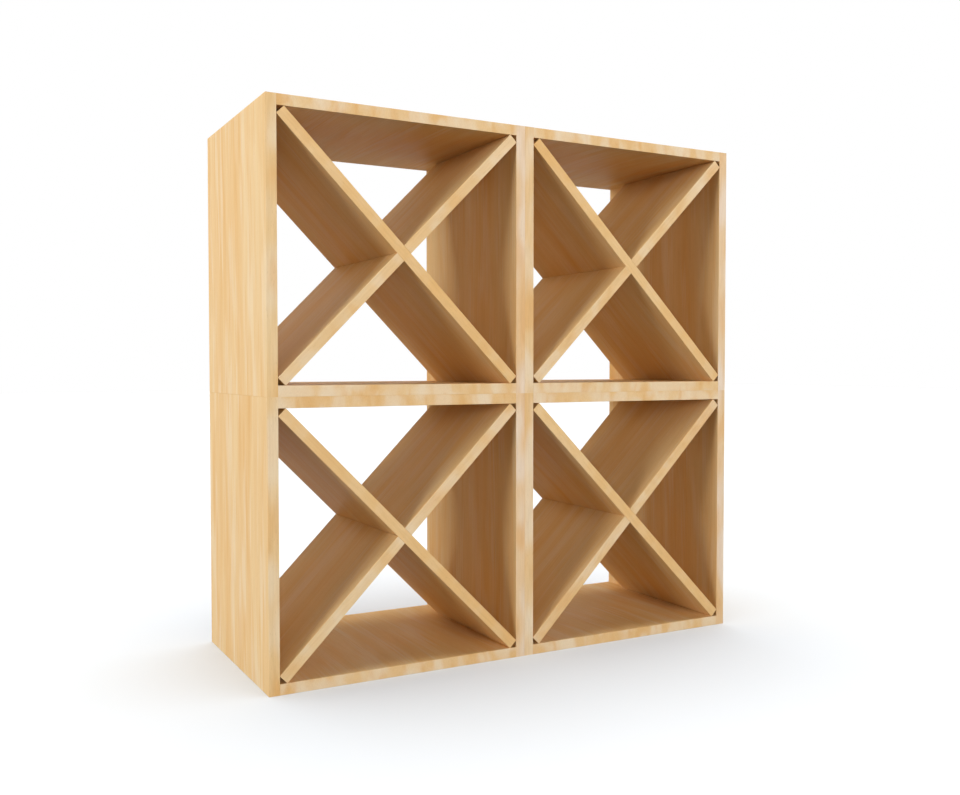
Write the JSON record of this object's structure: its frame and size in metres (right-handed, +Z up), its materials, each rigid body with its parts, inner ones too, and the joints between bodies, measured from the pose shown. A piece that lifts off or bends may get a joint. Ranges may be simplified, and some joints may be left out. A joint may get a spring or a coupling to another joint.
{
  "type": "wine rack",
  "caption": "Square wooden wine rack of stacked open boxes, each with a push-in X divider that splits it into triangular bays for bottles laid on their sides.",
  "frame": {"origin": "middle of the base, on the floor", "axes": "+X to the right seen from the front, +Y to the back, +Z up; the front faces -Y"},
  "size_m": [1, 0.38, 1],
  "materials": {
    "side_boards": "satin lacquer",
    "flat_boards": "satin lacquer",
    "divider_boards": "satin lacquer",
    "dowels": "bare beech"
  },
  "bodies": {
    "lower_boxes": {"lower_left_outer_side": "side_boards", "lower_left_inner_side": "side_boards", "lower_left_top": "flat_boards", "lower_left_bottom": "flat_boards", "lower_left_corner_dowels": "dowels", "lower_left_stop_pins": "dowels", "lower_right_outer_side": "side_boards", "lower_right_inner_side": "side_boards", "lower_right_top": "flat_boards", "lower_right_bottom": "flat_boards", "lower_right_corner_dowels": "dowels", "lower_right_stop_pins": "dowels", "left_stacking_dowels": "dowels", "right_stacking_dowels": "dowels", "lower_linking_dowels": "dowels"},
    "lower_left_rising": {"lower_left_rising_divider": "divider_boards"},
    "lower_left_falling": {"lower_left_falling_divider": "divider_boards"},
    "lower_right_rising": {"lower_right_rising_divider": "divider_boards"},
    "lower_right_falling": {"lower_right_falling_divider": "divider_boards"},
    "upper_left_box": {"upper_left_outer_side": "side_boards", "upper_left_inner_side": "side_boards", "upper_left_top": "flat_boards", "upper_left_bottom": "flat_boards", "upper_left_corner_dowels": "dowels", "upper_left_stop_pins": "dowels"},
    "upper_left_rising": {"upper_left_rising_divider": "divider_boards"},
    "upper_left_falling": {"upper_left_falling_divider": "divider_boards"},
    "upper_right_box": {"upper_right_outer_side": "side_boards", "upper_right_inner_side": "side_boards", "upper_right_top": "flat_boards", "upper_right_bottom": "flat_boards", "upper_right_corner_dowels": "dowels", "upper_right_stop_pins": "dowels"},
    "upper_right_rising": {"upper_right_rising_divider": "divider_boards"},
    "upper_right_falling": {"upper_right_falling_divider": "divider_boards"}
  },
  "joints": [
    {"name": "lower_left_divider_pull", "type": "slide", "parent": "lower_boxes", "child": "lower_left_rising", "axis": [0, -1, 0], "range_m": [0, 0.32]},
    {"name": "lower_left_falling_board_pull", "type": "slide", "parent": "lower_left_rising", "child": "lower_left_falling", "axis": [0, -1, 0], "range_m": [0, 0.32]},
    {"name": "lower_right_divider_pull", "type": "slide", "parent": "lower_boxes", "child": "lower_right_rising", "axis": [0, -1, 0], "range_m": [0, 0.32]},
    {"name": "lower_right_falling_board_pull", "type": "slide", "parent": "lower_right_rising", "child": "lower_right_falling", "axis": [0, -1, 0], "range_m": [0, 0.32]},
    {"name": "upper_left_box_lift", "type": "slide", "parent": "lower_boxes", "child": "upper_left_box", "axis": [0, 0, 1], "range_m": [0, 0.2]},
    {"name": "upper_left_divider_pull", "type": "slide", "parent": "upper_left_box", "child": "upper_left_rising", "axis": [0, -1, 0], "range_m": [0, 0.32]},
    {"name": "upper_left_falling_board_pull", "type": "slide", "parent": "upper_left_rising", "child": "upper_left_falling", "axis": [0, -1, 0], "range_m": [0, 0.32]},
    {"name": "upper_right_box_lift", "type": "slide", "parent": "lower_boxes", "child": "upper_right_box", "axis": [0, 0, 1], "range_m": [0, 0.2]},
    {"name": "upper_right_divider_pull", "type": "slide", "parent": "upper_right_box", "child": "upper_right_rising", "axis": [0, -1, 0], "range_m": [0, 0.32]},
    {"name": "upper_right_falling_board_pull", "type": "slide", "parent": "upper_right_rising", "child": "upper_right_falling", "axis": [0, -1, 0], "range_m": [0, 0.32]}
  ]
}
